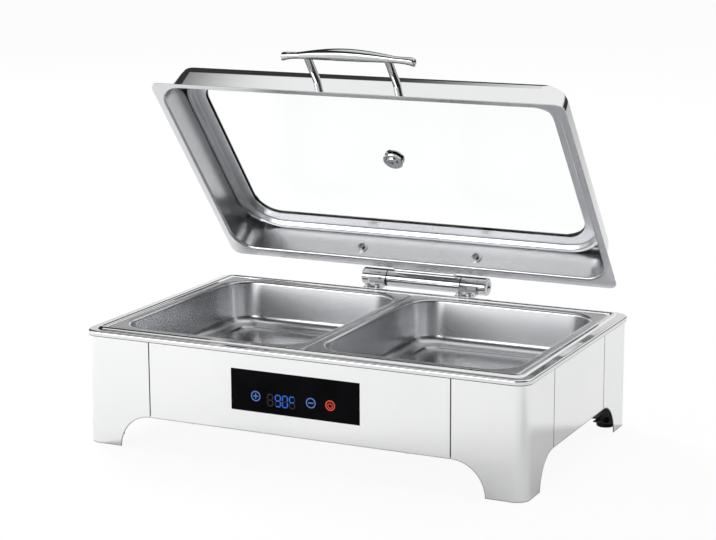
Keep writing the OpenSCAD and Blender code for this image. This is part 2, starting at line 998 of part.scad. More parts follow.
// Overheat cut-out with two blades, on the plate between two runs of the element
module thermal_cutout() {
  color(dark)
    translate([cutout_x, 0, heat_under_z]) {
      translate([0, 0, -cutout_h])
        cylinder(d = cutout_d, h = cutout_h);
      translate([-cutout_flange_w / 2, -cutout_flange_d / 2, -sheet_t])
        cube([cutout_flange_w, cutout_flange_d, sheet_t]);
      for (side = [-1, 1])
        translate([side * cutout_d / 4 - blade_t / 2, -blade_w / 2, -cutout_h - blade_h / 2])
          cube([blade_t, blade_w, blade_h]);
    }
}

module temperature_sensor() {
  color(satin)
    translate([sensor_x, 0, heat_under_z]) {
      translate([-sensor_w / 2, -sensor_d / 2, -sheet_t])
        cube([sensor_w, sensor_d, sheet_t]);
      translate([0, 0, -sensor_t / 2])
        rod_x(sensor_t, sensor_w / 2);
    }
}

// Glass touch panel, set into the front panel and a little proud of it
module touch_panel() {
  color(dark)
    translate([0, touch_back_y, touch_z])
      rotate([90, 0, 0])
        plate(touch_w, touch_h, touch_r, touch_t);
}

// Frame and back of the control unit: the touch panel lies on its seat, the board on its bosses
module control_box() {
  front_y = -body_d / 2 + sheet_t;
  board_back_y = touch_back_y + display_t + board_t;
  color(plastic)
    translate([0, 0, touch_z]) {
      difference() {
        translate([0, front_y + box_deep, 0])
          rotate([90, 0, 0])
            plate(touch_w + 2 * box_rim, touch_h + 2 * box_rim, box_r, box_deep);
        translate([0, touch_back_y, 0])
          rotate([90, 0, 0])
            plate(touch_w + 2 * touch_clear, touch_h + 2 * touch_clear, touch_r, touch_t);
        translate([0, front_y + box_deep - box_wall, 0])
          rotate([90, 0, 0])
            plate(touch_w - 2 * box_seat, touch_h - 2 * box_seat, box_r, box_deep);
      }
      for (x = [-1, 1], z = [-1, 1])
        translate([x * boss_x, board_back_y, z * boss_z])
          rod_y(boss_d, front_y + box_deep - box_wall / 2 - board_back_y);
    }
}

module display_module() {
  color(dark)
    translate([display_x - display_w / 2, touch_back_y, display_z - display_h / 2])
      cube([display_w, display_t, display_h]);
}

module control_board() {
  color(board)
    translate([-board_w / 2, touch_back_y + display_t, touch_z - board_h / 2])
      cube([board_w, board_t, board_h]);
}

// Power board on the floor plate, with relay, filter and terminal block
module power_board() {
  color(board)
    translate([power_x, 0, plate_top + standoff_h]) {
      translate([-power_w / 2, -power_d / 2, 0])
        cube([power_w, power_d, board_t]);
      translate([0, 0, board_t / 2]) {
        translate(relay_at)
          cube(relay);
        translate(filter_at)
          cube(filter);
        translate(terminals_at)
          cube(terminals);
        translate(capacitor_at)
          cylinder(d = capacitor_d, h = capacitor_h);
      }
    }
}

module board_standoffs() {
  color(plastic)
    for (x = [-1, 1], y = [-1, 1])
      translate([
        power_x + x * (power_w / 2 - standoff_in), y * (power_d / 2 - standoff_in), plate_top
      ])
        cylinder(d = standoff_d, h = standoff_h);
}

// Mains inlet: flange outside the rear panel, body inside, three pins in the socket
module power_inlet() {
  color(dark)
    translate([inlet_x, body_d / 2, inlet_z])
      difference() {
        union() {
          rotate([-90, 0, 0])
            plate(inlet_flange_w, inlet_flange_h, inlet_flange_r, inlet_t);
          translate([-inlet_w / 2, -inlet_deep, -inlet_h / 2])
            cube([inlet_w, inlet_deep + inlet_t / 2, inlet_h]);
        }
        difference() {
          translate([-socket_w / 2, inlet_t - socket_deep, -socket_h / 2])
            cube([socket_w, socket_deep + cut, socket_h]);
          for (i = [-1:1])
            translate([
              i * socket_pin_gap - socket_pin_w / 2, -socket_deep,
              (i == 0 ? socket_pin_rise : -socket_pin_fall) - socket_pin_h / 2
            ])
              cube([socket_pin_w, socket_deep - cut, socket_pin_h]);
        }
        for (side = [-1, 1])
          translate([side * inlet_screw_gap / 2, -cut, 0])
            rod_y(inlet_screw_d + screw_clear, inlet_t + 2 * cut);
      }
}

module at_inlet_screws() {
  for (side = [-1, 1])
    translate([inlet_x + side * inlet_screw_gap / 2, body_d / 2, inlet_z])
      children();
}

module inlet_screws() {
  color(steel)
    at_inlet_screws() {
      translate([0, inlet_t, 0])
        rod_y(inlet_head_d, inlet_head_h);
      translate([0, -sheet_t - nut_t - screw_tail, 0])
        rod_y(inlet_screw_d, inlet_t + sheet_t + nut_t + screw_tail + inlet_head_h / 2);
    }
}

module inlet_nuts() {
  color(steel)
    at_inlet_screws()
      translate([0, -sheet_t, 0])
        rotate([90, 0, 0])
          difference() {
            hex(inlet_head_d, nut_t);
            translate([0, 0, -cut])
              cylinder(d = inlet_screw_d + 2 * run_clear, h = nut_t + 2 * cut);
          }
}

module at_hinge_bolts() {
  for (side = [-1, 1], step = [-1, 1])
    translate([side * (knuckle_x + knuckle_len / 2) + step * bolt_spread, bolt_y, 0])
      children();
}

// Fixed knuckle with a foot on the rim
module hinge_bracket() {
  top_z = body_h + bracket_t;
  neck = [
    [bracket_y, body_h], [rim_d / 2, body_h],
    [hinge_y - neck_front, hinge_z - barrel_d / 2 + neck_sink], [hinge_y, hinge_z],
    [hinge_y - barrel_d / 2 + neck_sink, hinge_z + neck_top],
    [bolt_y + bolt_head_d / 2 + neck_room, top_z], [bracket_y, top_z]
  ];
  color(steel)
    difference() {
      union() {
        translate([knuckle_x, 0, 0])
          rotate([90, 0, 90])
            linear_extrude(knuckle_len)
              polygon(neck);
        translate([knuckle_x + knuckle_len / 2, hinge_y, hinge_z])
          rod_x(barrel_d, knuckle_len);
      }
      translate([knuckle_x + knuckle_len / 2, hinge_y, hinge_z])
        rod_x(shaft_d + 2 * run_clear, knuckle_len + 2 * cut);
      at_hinge_bolts()
        translate([0, 0, body_h - cut])
          cylinder(d = bolt_d + screw_clear, h = bracket_t + 2 * cut);
    }
}

module hinge_bracket_left() {
  mirror([1, 0, 0])
    hinge_bracket();
}

module hinge_bracket_right() {
  hinge_bracket();
}

module hinge_shaft() {
  color(satin)
    translate([0, hinge_y, hinge_z])
      rod_x(shaft_d, 2 * (cap_x + shaft_in_cap));
}

module hinge_caps() {
  color(steel)
    for (side = [0, 1])
      mirror([side, 0, 0])
        translate([cap_x, hinge_y, hinge_z])
          rotate([0, 90, 0])
            rotate_extrude()
              polygon([
                [shaft_d / 2 + run_clear, 0], [barrel_d / 2 - cap_joint, 0], [barrel_d / 2, cap_joint],
                for (a = [0:15:90])
                  [barrel_d / 2 - cap_edge * (1 - cos(a)), cap_len - cap_edge * (1 - sin(a))],
                [cap_pocket_d / 2, cap_len], [cap_pocket_d / 2 - cap_pocket_edge, cap_len - cap_pocket],
                [0, cap_len - cap_pocket], [0, shaft_in_cap], [shaft_d / 2 + run_clear, shaft_in_cap]
              ]);
}

module hinge_washers() {
  color(plastic)
    for (side = [0, 1])
      mirror([side, 0, 0])
        translate([barrel_len / 2 + washer_gap + washer_t / 2, hinge_y, hinge_z])
          difference() {
            rod_x(washer_d, washer_t);
            rod_x(shaft_d + 2 * run_clear, washer_t + 2 * cut);
          }
}

module hinge_bolts() {
  color(steel)
    at_hinge_bolts()
      translate([0, 0, body_h + bracket_t])
        difference() {
          union() {
            cylinder(d = bolt_head_d, h = bolt_head_h);
            translate([0, 0, -bolt_len])
              cylinder(d = bolt_d, h = bolt_len + cut);
          }
          translate([0, 0, bolt_head_h - bolt_socket_h])
            hex(bolt_socket_d, bolt_socket_h + cut);
        }
}

// Tapped strip under the rim that takes the hinge bolts
module hinge_backing_plate() {
  color(steel)
    difference() {
      translate([-backing_half, backing_y - backing_d, frame_under_z - backing_t])
        cube([2 * backing_half, backing_d, backing_t]);
      at_hinge_bolts()
        translate([0, 0, frame_under_z - backing_t - cut])
          cylinder(d = bolt_d + 2 * run_clear, h = backing_t + 2 * cut);
    }
}

module at_leaf_screws() {
  on_rear_wall()
    for (side = [-1, 1])
      translate([side * leaf_screw_x, 0, leaf_screw_z])
        children();
}

module at_handle_screws() {
  on_front_wall()
    for (side = [-1, 1])
      translate([side * post_x, 0, handle_screw_z])
        children();
}

// Lid: flange, drafted walls, rounded top edge and the opening for the window
module lid_shell() {
  wall = [
    [lid_root_r + 2 * flat_lap, sheet_t], [0, sheet_t], [-lid_draft, lid_h], [-lid_top_in - cut, lid_h]
  ];
  color(steel)
    opened()
      difference() {
        translate([0, 0, lid_z]) {
          translate([0, dome_y, 0]) {
            ring(dome_w, dome_d, lid_corner_r)
              bent_sheet(wall, [0, lid_root_r, lid_edge_r, 0], sheet_t);
            translate([0, 0, lid_h - sheet_t])
              frame_plate(
                dome_w - 2 * lid_top_in, dome_d - 2 * lid_top_in, lid_corner_r - lid_top_in,
                window_w, window_d, window_r, sheet_t
              );
          }
          difference() {
            translate([0, lid_mid_y, 0])
              plate(lid_w, lid_d, lid_rim_r, sheet_t);
            translate([0, dome_y, -cut])
              plate(
                dome_w + 2 * lid_flat, dome_d + 2 * lid_flat, lid_corner_r + lid_flat, sheet_t + 2 * cut
              );
          }
        }
        at_leaf_screws()
          translate([0, -2 * cut, 0])
            rod_y(handle_screw_d + screw_clear, 3 * cut);
        at_handle_screws()
          translate([0, -2 * cut, 0])
            rod_y(handle_screw_d + screw_clear, 3 * cut);
      }
}

// Frame inside the lid that holds the glass up against the shell
module lid_inner_frame() {
  low = glass_low - sheet_t;
  section = [
    [0, low], [keeper_flat, low], [keeper_flat + keeper_run, low - keeper_drop],
    [keeper_end, low - keeper_drop]
  ];
  color(satin)
    opened()
      translate([0, dome_y, lid_z])
        ring(window_w + 2 * keeper_in, window_d + 2 * keeper_in, window_r + keeper_in)
          bent_sheet(section, [0, keeper_bend_r, keeper_bend_r, 0], sheet_t);
}

module lid_glass() {
  color(clear, 0.4)
    opened()
      translate([0, dome_y, lid_z + glass_low])
        difference() {
          plate(glass_w, glass_d, glass_r, glass_t);
          translate([0, 0, -cut])
            cylinder(d = vent_hole_d, h = glass_t + 2 * cut);
        }
}

module glass_gasket() {
  color(rubber)
    opened()
      translate([0, dome_y, lid_z + glass_top])
        frame_plate(
          window_w + 2 * (gasket_in + gasket_w), window_d + 2 * (gasket_in + gasket_w),
          window_r + gasket_in + gasket_w,
          window_w + 2 * gasket_in, window_d + 2 * gasket_in, window_r + gasket_in, gasket_t
        );
}

// Steam vent: a disc inside with a hollow stem, a cap outside and a sleeve in the glass
module vent_inner_disc() {
  color(steel)
    opened()
      translate([0, dome_y, lid_z + glass_low - grommet_t])
        rotate_extrude()
          polygon([
            [vent_steam_d / 2, -vent_t - vent_boss_h],
            [vent_boss_d / 2 - vent_edge, -vent_t - vent_boss_h],
            [vent_boss_d / 2, -vent_t - vent_boss_h + vent_edge], [vent_boss_d / 2, -vent_t],
            [vent_d / 2 - vent_edge, -vent_t], [vent_d / 2, -vent_t + vent_edge], [vent_d / 2, 0],
            [vent_stem_d / 2, 0],
            [vent_stem_d / 2, glass_t + 2 * grommet_t + vent_t],
            [vent_steam_d / 2, glass_t + 2 * grommet_t + vent_t]
          ]);
}

module vent_outer_cap() {
  color(steel)
    opened()
      translate([0, dome_y, lid_z + glass_top + grommet_t])
        rotate_extrude()
          polygon([
            [vent_stem_d / 2 + run_clear, 0], [vent_d / 2, 0], [vent_d / 2, vent_t - vent_edge],
            [vent_d / 2 - vent_edge, vent_t], [vent_stem_d / 2 + run_clear, vent_t]
          ]);
}

module vent_grommet() {
  bore = vent_stem_d / 2 + run_clear;
  neck = vent_hole_d / 2 - run_clear;
  color(rubber)
    opened()
      translate([0, dome_y, lid_z + glass_low])
        rotate_extrude()
          polygon([
            [bore, -grommet_t], [grommet_d / 2, -grommet_t], [grommet_d / 2, 0], [neck, 0],
            [neck, glass_t], [grommet_d / 2, glass_t], [grommet_d / 2, glass_t + grommet_t],
            [bore, glass_t + grommet_t]
          ]);
}

// Leaf on the lid's rear wall, with an arm out to the turning barrel
module lid_hinge_leaf() {
  arm = [
    on_wall(leaf_t / 2, arm_low), in_barrel(arm_front), [hinge_y, hinge_z], in_barrel(arm_rear),
    on_wall(leaf_t / 2, arm_low + arm_t)
  ];
  color(steel)
    opened()
      difference() {
        union() {
          on_rear_wall()
            translate([-leaf_half, 0, leaf_low])
              cube([2 * leaf_half, leaf_t, leaf_high - leaf_low]);
          translate([-arm_half, 0, 0])
            rotate([90, 0, 90])
              linear_extrude(2 * arm_half)
                polygon(arm);
          translate([0, hinge_y, hinge_z])
            rod_x(barrel_d, barrel_len);
        }
        translate([0, hinge_y, hinge_z])
          rod_x(shaft_d + 2 * run_clear, barrel_len + 2 * cut);
        at_leaf_screws()
          translate([0, -cut, 0])
            rod_y(handle_screw_d + 2 * run_clear, leaf_t + 2 * cut);
      }
}

// Screw from inside the lid: cross-recessed head on a washer, shank out through the wall
module wall_screw(long) {
  head_y = -sheet_t - wall_washer_t;
  difference() {
    union() {
      translate([0, head_y, 0])
        rotate([90, 0, 0])
          rotate_extrude()
            polygon([
              [0, 0], [handle_head_d / 2, 0], [handle_head_d / 2, handle_head_h - head_edge],
              [handle_head_d / 2 - head_edge, handle_head_h], [0, handle_head_h]
            ]);
      translate([0, head_y - handle_head_h / 2, 0])
        rod_y(handle_screw_d, handle_head_h / 2 - head_y + long);
    }
    for (size = [[recess_len, recess_w], [recess_w, recess_len]])
      translate([0, head_y - handle_head_h, 0])
        cube([size[0], 2 * recess_deep, size[1]], center = true);
  }
}

module wall_washer(d) {
  translate([0, -sheet_t - wall_washer_t, 0])
    difference() {
      rod_y(d, wall_washer_t);
      translate([0, -cut, 0])
        rod_y(handle_screw_d + screw_clear, wall_washer_t + 2 * cut);
    }
}

module leaf_screws() {
  color(steel)
    opened()
      at_leaf_screws()
        wall_screw(leaf_screw_len);
}

module leaf_washers() {
  color(steel)
    opened()
      at_leaf_screws()
        wall_washer(leaf_washer_d);
}

module handle_screws() {
  color(steel)
    opened()
      at_handle_screws()
        wall_screw(handle_screw_len);
}

module handle_washers() {
  color(steel)
    opened()
      at_handle_screws()
        wall_washer(handle_washer_d);
}

// Post cut to the slope of the wall and bored for its screw
module handle_post(side) {
  color(steel)
    opened()
      difference() {
        translate([side * post_x, post_start_y + 2 * lid_draft, lid_z + post_z])
          rotate([90, 0, 0])
            cylinder(d = post_d, h = post_len + post_sink + 2 * lid_draft);
        on_front_wall()
          translate([side * post_x - post_d, -3 * lid_draft, 0])
            cube([2 * post_d, 3 * lid_draft, 2 * post_z]);
        at_handle_screws()
          rod_y(handle_screw_d + 2 * run_clear, handle_screw_len + screw_tail);
      }
}

module handle_post_left() { handle_post(-1); }
module handle_post_right() { handle_post(1); }

// Half height of the bar at a station: full in the middle, thin, then flared towards the tips
function bar_r(s) =
  bar_mid_r * (s > bar_end_from ? bar_end_r
    : bar_thin + (1 - bar_thin) * pow(cos(90 * min(1, s / bar_waist)), bar_swell)
      + bar_flare * max(0, (s - bar_flare_from) / (1 - bar_flare_from)));
// How far the tips bend down towards the lid
function bar_drop(s) = bar_tip_drop * pow(s, bar_bend);
function bar_ring(u) =
  let (s = abs(u) / (bar_len / 2), r = bar_r(s))
  [for (k = [0:bar_points - 1])
    let (a = 360 * k / bar_points)
    [u, bar_y + bar_drop(s) - r + r * cos(a), lid_z + post_z + bar_wide * r * sin(a)]];

// Grip bar, thickest in the middle, with a socket for each post
module handle_bar() {
  n = bar_points;
  rings = [for (i = [0:bar_stations]) bar_ring(bar_len * (i / bar_stations - 0.5))];
  points = [for (ring_points = rings, p = ring_points) p];
  last = bar_stations * n;
  sides = [for (i = [0:bar_stations - 1], k = [0:n - 1], half = [0, 1])
    let (a = i * n + k, b = i * n + (k + 1) % n)
    half == 0 ? [a, a + n, b + n] : [a, b + n, b]];
  ends = [[for (k = [0:n - 1]) k], [for (k = [n - 1:-1:0]) last + k]];
  color(steel)
    opened()
      difference() {
        polyhedron(points, concat(sides, ends));
        for (side = [-1, 1])
          translate([side * post_x, bar_y + bar_mid_r, lid_z + post_z])
            rotate([90, 0, 0])
              cylinder(d = post_d + 2 * run_clear, h = bar_mid_r + post_sink + run_clear);
      }
}

placed()
    leg_front_left();
placed()
    leg_front_right();
placed()
    leg_rear_left();
placed()
    leg_rear_right();
placed()
    foot_front_left();
placed()
    foot_front_right();
placed()
    foot_rear_left();
placed()
    foot_rear_right();
placed()
    front_panel();
placed()
    rear_panel();
placed()
    left_panel();
placed()
    right_panel();
placed()
    seam_strips();
placed()
    top_frame();
placed()
    pan_support_bar();
placed()
    water_pan();
placed()
    food_pan_left();
placed()
    food_pan_right();
placed()
    base_plate();
placed()
    base_screws();
placed()
    heating_plate();
placed()
    heating_element();
placed()
    heater_clamps();
placed()
    heater_nuts();
placed()
    heat_shield();
placed()
    thermal_cutout();
placed()
    temperature_sensor();
placed()
    touch_panel();
placed()
    display_module();
placed()
    control_board();
placed()
    control_box();
placed()
    power_board();
placed()
    board_standoffs();
placed()
    power_inlet();
placed()
    inlet_screws();
placed()
    inlet_nuts();
placed()
    hinge_bracket_left();
placed()
    hinge_bracket_right();
placed()
    hinge_shaft();
placed()
    hinge_caps();
placed()
    hinge_washers();
placed()
    hinge_bolts();
placed()
    hinge_backing_plate();
placed()
    lid_shell();
placed()
    lid_inner_frame();
placed()
    lid_glass();
placed()
    glass_gasket();
placed()
    lid_hinge_leaf();
placed()
    leaf_screws();
placed()
    leaf_washers();
placed()
    vent_inner_disc();
placed()
    vent_outer_cap();
placed()
    vent_grommet();
placed()
    handle_bar();
placed()
    handle_post_left();
placed()
    handle_post_right();
placed()
    handle_screws();
placed()
    handle_washers();
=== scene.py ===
"""Looks of the electric chafing dish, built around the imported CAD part."""

import json
import math

import bmesh
import bpy
from mathutils import Matrix, Vector


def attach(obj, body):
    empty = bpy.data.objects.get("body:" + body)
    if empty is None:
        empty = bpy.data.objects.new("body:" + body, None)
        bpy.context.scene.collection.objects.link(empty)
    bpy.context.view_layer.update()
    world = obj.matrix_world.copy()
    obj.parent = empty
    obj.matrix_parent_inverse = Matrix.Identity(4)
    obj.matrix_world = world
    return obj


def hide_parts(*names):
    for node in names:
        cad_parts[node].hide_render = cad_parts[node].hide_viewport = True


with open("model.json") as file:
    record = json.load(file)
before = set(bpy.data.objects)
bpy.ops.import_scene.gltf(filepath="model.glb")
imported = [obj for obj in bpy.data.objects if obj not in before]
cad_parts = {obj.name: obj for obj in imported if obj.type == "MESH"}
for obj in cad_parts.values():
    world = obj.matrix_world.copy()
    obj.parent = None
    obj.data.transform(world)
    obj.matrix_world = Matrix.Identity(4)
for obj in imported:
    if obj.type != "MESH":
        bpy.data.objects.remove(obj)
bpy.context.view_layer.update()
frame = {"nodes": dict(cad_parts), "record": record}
nodes = frame["nodes"]
MM = 0.001

# Sizes in millimetres, as in the part's source
SHEET_T = 1.0
BASE_Y = -15.5
BODY_W, BODY_D, BODY_H = 565.0, 350.0, 140.5
LEG_WING, FOOT_WING, LEG_Z = 88.0, 47.0, 1.0
ARCH_R = LEG_WING - FOOT_WING
RIM_OVERHANG, RIM_R, RIM_FLAT = 2.5, 18.5, 10.4
RIM_W, RIM_D = BODY_W + 2 * RIM_OVERHANG, BODY_D + 2 * RIM_OVERHANG
RIM_EDGE_H, RIM_EDGE_R, RIM_CURL, RIM_CURL_R = 7.0, 2.5, 2.2, 1.6
BEAD_W, BEAD_H, BEAD_IN_R = 10.2, 2.5, 1.0
ZONE_W = RIM_W - 2 * (RIM_FLAT + BEAD_W)
ZONE_D = RIM_D - 2 * (RIM_FLAT + BEAD_W)
LEDGE_W, LEDGE_R = 6.4, 6.0
SEAT_CLEAR = 0.5
PAN_W, PAN_D = ZONE_W / 2 - 2 * SEAT_CLEAR, ZONE_D - 2 * SEAT_CLEAR
PAN_RIM, PAN_RIM_R, PAN_CORNER_R = 10.8, 7.0, 38.0
PAN_LIP_R, PAN_FLOOR_R, PAN_STEP_R = 4.0, 12.0, 1.5
PAN_DEPTH, PAN_DRAFT = 58.0, 6.0
PAN_STEP_IN, PAN_STEP_RUN, PAN_STEP_H = 17.0, 2.0, 2.5
HINGE_Y, HINGE_Z, LID_OPEN = 197.0, 151.5, math.radians(50.6)
LID_W, LID_D, LID_H = 540.0, 325.0, 46.3
LID_REST, LID_COVER, LID_RIM_R, LID_ROOT_R = 0.3, 0.8, 12.0, 2.5
LID_Z = BODY_H + BEAD_H + LID_REST
LID_BACK = ZONE_D / 2 + LID_COVER * BEAD_W
LID_MID = LID_BACK - LID_D / 2
FLANGE_SIDE, FLANGE_FRONT, FLANGE_REAR = 9.5, 7.0, 13.5
DOME_W, DOME_D, DOME_R = LID_W - 2 * FLANGE_SIDE, LID_D - FLANGE_FRONT - FLANGE_REAR, 30.0
DOME_Y = LID_BACK - FLANGE_REAR - DOME_D / 2
WINDOW_INSET, WINDOW_R = 31.0, 32.0
WINDOW_W, WINDOW_D = DOME_W - 2 * WINDOW_INSET, DOME_D - 2 * WINDOW_INSET
GLASS_LOW = LID_H - 5.5
POST_LEN, POST_Z, BAR_LEN = 34.5, 28.24, 174.0
BAR_Y = DOME_Y - DOME_D / 2 - POST_LEN
TOUCH_PROUD = 0.6
TOUCH_Y = -BODY_D / 2 - TOUCH_PROUD

# Signs on the touch panel, in millimetres from the dish's middle and from the floor
SIGN_Z, SIGN_R, SIGN_LINE = 85.0, 6.2, 1.3
PLUS_X, MINUS_X, POWER_X = -50.2, 21.1, 45.8
DIGIT_X = (-31.4, -21.3, -12.2, -3.0)
DIGIT_Z, DIGIT_W, DIGIT_H, DIGIT_LINE = 82.4, 6.4, 13.4, 1.5


# Meshes
def corner_loop(w, d, r, z, cy=0.0, cx=0.0):
    """Points around a rounded rectangle, with two extra points near the ends of each side."""
    steps, hold = 12, 0.6
    out = []
    for k, (sx, sy) in enumerate(((1, 1), (-1, 1), (-1, -1), (1, -1))):
        px, py = cx + sx * (w / 2 - r), cy + sy * (d / 2 - r)
        arc = [math.radians(90 * (k + i / steps)) for i in range(steps + 1)]
        pts = [(px + r * math.cos(a), py + r * math.sin(a)) for a in arc]
        t0, t1 = arc[0], arc[-1]
        first = (pts[0][0] + hold * math.sin(t0), pts[0][1] - hold * math.cos(t0))
        last = (pts[-1][0] - hold * math.sin(t1), pts[-1][1] + hold * math.cos(t1))
        out += [first] + pts + [last]
    return [(x, y, z) for x, y in out]


def offset_loop(base, x, z):
    """The base rectangle (width, depth, corner radius, y, x), grown by x on each side, at height z."""
    least_r = 0.05
    w, d, r, cy, cx = base
    return corner_loop(w + 2 * x, d + 2 * x, max(r + x, least_r), z, cy, cx)


def quarter_round(r, steps):
    """Points of a rounded edge as (inset, drop), from the flat to the side."""
    turns = [math.radians(90 * k / steps) for k in range(steps + 1)]
    return [(r - r * math.sin(a), r - r * math.cos(a)) for a in turns]


def bend(path, radii, off=0.0, steps=10):
    """Points along one side of a bent sheet, with a point just before and after each bend."""
    hold = 0.25
    out = []
    last = len(path) - 1
    for i, p in enumerate(path):
        p = Vector(p)
        if i in (0, last):
            a, b = (path[0], path[1]) if i == 0 else (path[-2], path[-1])
            d = (Vector(b) - Vector(a)).normalized()
            out.append(p + Vector((-d.y, d.x)) * off)
            continue
        a = (p - Vector(path[i - 1])).normalized()
        b = (Vector(path[i + 1]) - p).normalized()
        turn = math.atan2(a.x * b.y - a.y * b.x, a.dot(b))
        hand = 1 if turn > 0 else -1
        trim = radii[i] * math.tan(abs(turn) / 2)
        n = Vector((-a.y, a.x)) * hand
        c = p - a * trim + n * radii[i]
        r = radii[i] - hand * off
        a0 = math.atan2(-n.y, -n.x)
        arc = [c + r * Vector((math.cos(a0 + turn * k / steps), math.sin(a0 + turn * k / steps)))
               for k in range(steps + 1)]
        out += [arc[0] - a * hold] + arc + [arc[-1] + b * hold]
    return [(q.x, q.y) for q in out]


def sheet_sides(base, z0, path, radii, steps=10):
    """Loops of both sides of a bent sheet that runs around the base rectangle."""
    profiles = [bend(path, radii, off, steps) for off in (0.0, SHEET_T)]
    return [[offset_loop(base, x, z0 + z) for x, z in profile] for profile in profiles]


def opened(p):
    """A point of the closed lid, swung open."""
    y, z = p[1] - HINGE_Y, p[2] - HINGE_Z
    c, s = math.cos(-LID_OPEN), math.sin(-LID_OPEN)
    return (p[0], HINGE_Y + c * y - s * z, HINGE_Z + s * y + c * z)


def finish_mesh(name, verts, faces, lid=False, kinds=None):
    """Makes a mesh object from points in millimetres; the lid's are given closed and swung open here."""
    sharp, same_place = math.radians(32.0), 1e-7
    if lid:
        verts = [opened(v) for v in verts]
    mesh = bpy.data.meshes.new(name)
    mesh.from_pydata([(x * MM, (y + BASE_Y) * MM, z * MM) for x, y, z in verts], [], faces)
    if kinds:
        mesh.polygons.foreach_set("material_index", kinds)
    bm = bmesh.new()
    bm.from_mesh(mesh)
    bmesh.ops.remove_doubles(bm, verts=bm.verts, dist=same_place)
    bmesh.ops.recalc_face_normals(bm, faces=bm.faces)
    bm.to_mesh(mesh)
    bm.free()
    mesh.polygons.foreach_set("use_smooth", [True] * len(mesh.polygons))
    mesh.set_sharp_from_angle(angle=sharp)
    obj = bpy.data.objects.new(name, mesh)
    bpy.context.scene.collection.objects.link(obj)
    return obj


def loft(name, loops, closed=True, lid=False, inside=0):
    """Joins loops of equal length; an open row is capped at both ends.

    Rows from number inside on take the second material.
    """
    n = len(loops[0])
    verts = [p for lp in loops for p in lp]
    faces = []
    rows = len(loops)
    for i in range(rows if closed else rows - 1):
        a, b = i * n, ((i + 1) % rows) * n
        faces += [(a + k, a + (k + 1) % n, b + (k + 1) % n, b + k) for k in range(n)]
    kinds = [int(i // n >= inside) for i in range(len(faces))] if inside else None
    if not closed:
        faces += [tuple(range(n)), tuple(range((rows - 1) * n, rows * n))]
    return finish_mesh(name, verts, faces, lid, kinds)


def make_pan(name, cx):
    """Drawn pan: lip, drafted wall, border, small step and floor, with a rounded outer edge."""
    base = (PAN_W - 2 * PAN_RIM, PAN_D - 2 * PAN_RIM, PAN_CORNER_R, 0.0, cx)
    top = BODY_H + SHEET_T
    rim_run, floor_run = 6.0, 3.0
    border_z = PAN_STEP_H - PAN_DEPTH
    border_in = PAN_DRAFT + PAN_STEP_IN
    floor_in = border_in + PAN_STEP_RUN
    path = [(rim_run, 0.0), (0.0, 0.0), (-PAN_DRAFT, border_z), (-border_in, border_z),
            (-floor_in, -PAN_DEPTH), (-floor_in - floor_run, -PAN_DEPTH)]
    seen, under = sheet_sides(base, top, path, [0, PAN_LIP_R, PAN_FLOOR_R, PAN_STEP_R, PAN_STEP_R, 0])
    edge_run, edge_steps, break_w = 1.8, 4, 0.04
    profile = [(edge_run, 0.0)] + quarter_round(SHEET_T, edge_steps)[:-1]
    profile += [(0.0, SHEET_T - break_w), (break_w, SHEET_T)]
    edge = [corner_loop(PAN_W - 2 * i, PAN_D - 2 * i, PAN_RIM_R - i, top - z, 0.0, cx) for i, z in profile]
    return loft(name, seen[::-1] + edge + under, closed=False)


def make_top_frame():
    """Rim: curled edge, flat, raised bead and the ledge that carries the pans."""
    rim = (RIM_W, RIM_D, RIM_R, 0.0, 0.0)
    flat_run, bead_steps, bead_foot = 4.5, 24, 1.2
    path = [(-RIM_CURL, -RIM_EDGE_H), (0.0, -RIM_EDGE_H), (0.0, 0.0), (-flat_run, 0.0)]
    seen, under = sheet_sides(rim, BODY_H, path, [0, RIM_CURL_R, RIM_EDGE_R, 0])
    arc_r = (BEAD_W ** 2 / 4 + BEAD_H ** 2) / (2 * BEAD_H)
    half = math.asin(BEAD_W / 2 / arc_r)
    around_bead = (RIM_W - 2 * RIM_FLAT, RIM_D - 2 * RIM_FLAT, BEAD_W + BEAD_IN_R, 0.0, 0.0)
    bead = [offset_loop(around_bead, bead_foot, BODY_H)]
    for i in range(bead_steps + 1):
        a = math.pi / 2 - half + 2 * half * i / bead_steps
        x = -BEAD_W / 2 + arc_r * math.cos(a)
        z = BEAD_H - arc_r + arc_r * math.sin(a)
        bead.append(offset_loop(around_bead, x, BODY_H + z))
    ledge = [corner_loop(ZONE_W - 2 * LEDGE_W, ZONE_D - 2 * LEDGE_W, LEDGE_R, z)
             for z in (BODY_H, BODY_H - SHEET_T)]
    return loft("rim_visual", seen + bead + ledge + under[::-1])


def make_lid_shell():
    """Lid: flange with rounded rim, slightly bent wall, rounded top edge and the window's opening."""
    base = (DOME_W, DOME_D, DOME_R, DOME_Y, 0.0)
    root_run, wall_in, wall_h, top_in, top_run, steps = 4.6, 3.9, 33.0, 6.6, 28.0, 14
    wall_r, top_r = 30.0, 8.0
    path = [(root_run, SHEET_T), (0.0, SHEET_T), (-wall_in, wall_h), (-top_in, LID_H), (-top_run, LID_H)]
    seen, under = sheet_sides(base, LID_Z, path, [0, LID_ROOT_R, wall_r, top_r, 0], steps)
    rim_run, rim_round, round_steps = 0.8, 0.3, 2
    low = [(rim_run, 0.0)] + quarter_round(rim_round, round_steps)
    profile = low + [(i, SHEET_T - z) for i, z in low[::-1]]
    rim = [corner_loop(LID_W - 2 * i, LID_D - 2 * i, LID_RIM_R - i, LID_Z + z, LID_MID) for i, z in profile]
    window = [corner_loop(WINDOW_W, WINDOW_D, WINDOW_R, LID_Z + z, DOME_Y) for z in (LID_H, LID_H - SHEET_T)]
    outside = rim + seen + window
    return loft("lid_visual", outside + under[::-1], lid=True, inside=len(outside) - 1)


